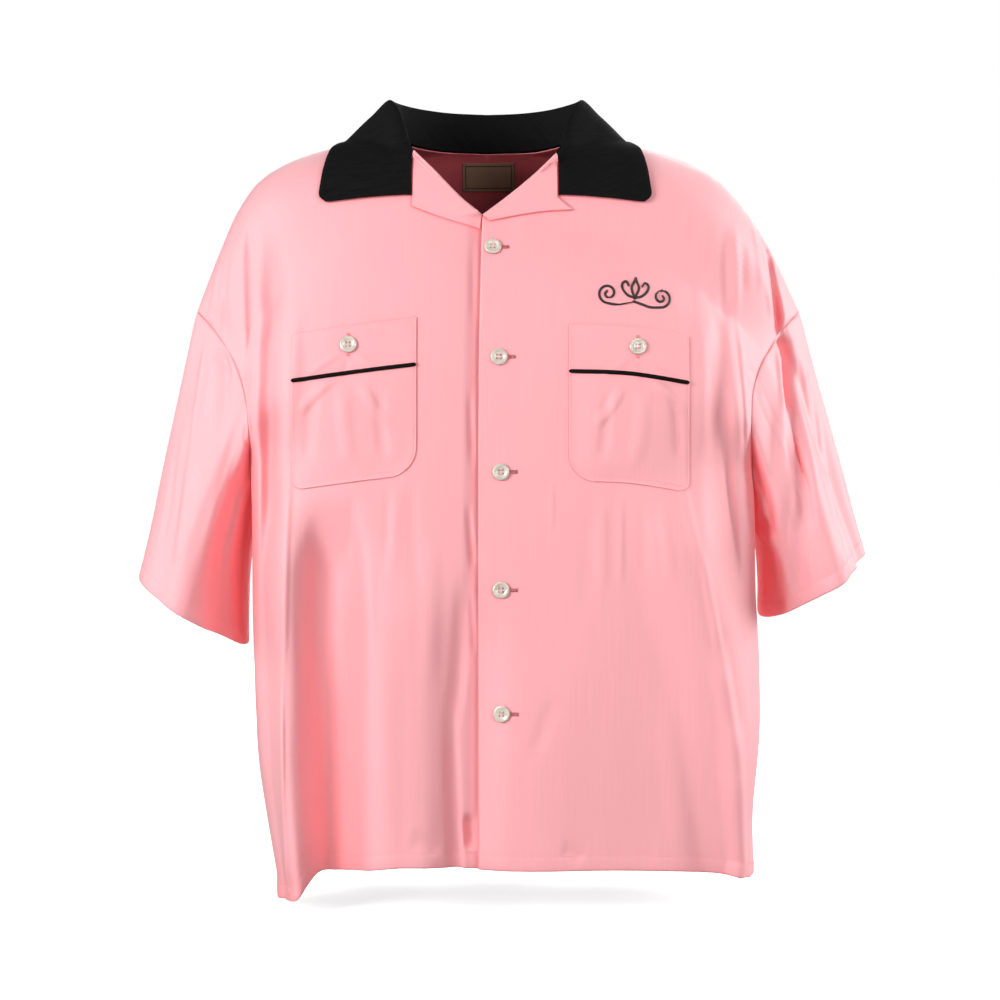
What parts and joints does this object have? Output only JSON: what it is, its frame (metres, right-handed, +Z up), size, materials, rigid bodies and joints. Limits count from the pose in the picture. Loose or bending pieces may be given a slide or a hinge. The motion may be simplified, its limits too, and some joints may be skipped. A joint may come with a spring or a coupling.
{
  "type": "bowling shirt",
  "caption": "Short-sleeved camp-collar shirt with contrast collar, breast pockets with piping, and pearl buttons, filled out as if worn.",
  "frame": {"origin": "middle of the base of the neck, where the wearer's neck and shoulders carry the shirt", "axes": "+Z up, the front faces -Y, +X towards the wearer's left"},
  "size_m": [0.69, 0.2739, 0.7543],
  "materials": {
    "shirt_cloth": "soft satin twill, pink",
    "collar_cloth": "matt plain weave, black",
    "label_weave": "woven label, tan and bare",
    "button_pearl": "polished pearl"
  },
  "bodies": {
    "root": {"front_left": "shirt_cloth", "front_right": "shirt_cloth", "back": "shirt_cloth", "sleeve_left": "shirt_cloth", "sleeve_right": "shirt_cloth", "collar": "collar_cloth", "lapel_left": "shirt_cloth", "lapel_right": "shirt_cloth", "pocket_left": "shirt_cloth", "pocket_right": "shirt_cloth", "pocket_band_left": "shirt_cloth", "pocket_band_right": "shirt_cloth", "piping_left": "collar_cloth", "piping_right": "collar_cloth", "neck_label": "label_weave", "button_front_1": "button_pearl", "button_front_2": "button_pearl", "button_front_3": "button_pearl", "button_front_4": "button_pearl", "button_front_5": "button_pearl", "button_pocket_left": "button_pearl", "button_pocket_right": "button_pearl"}
  },
  "joints": []
}
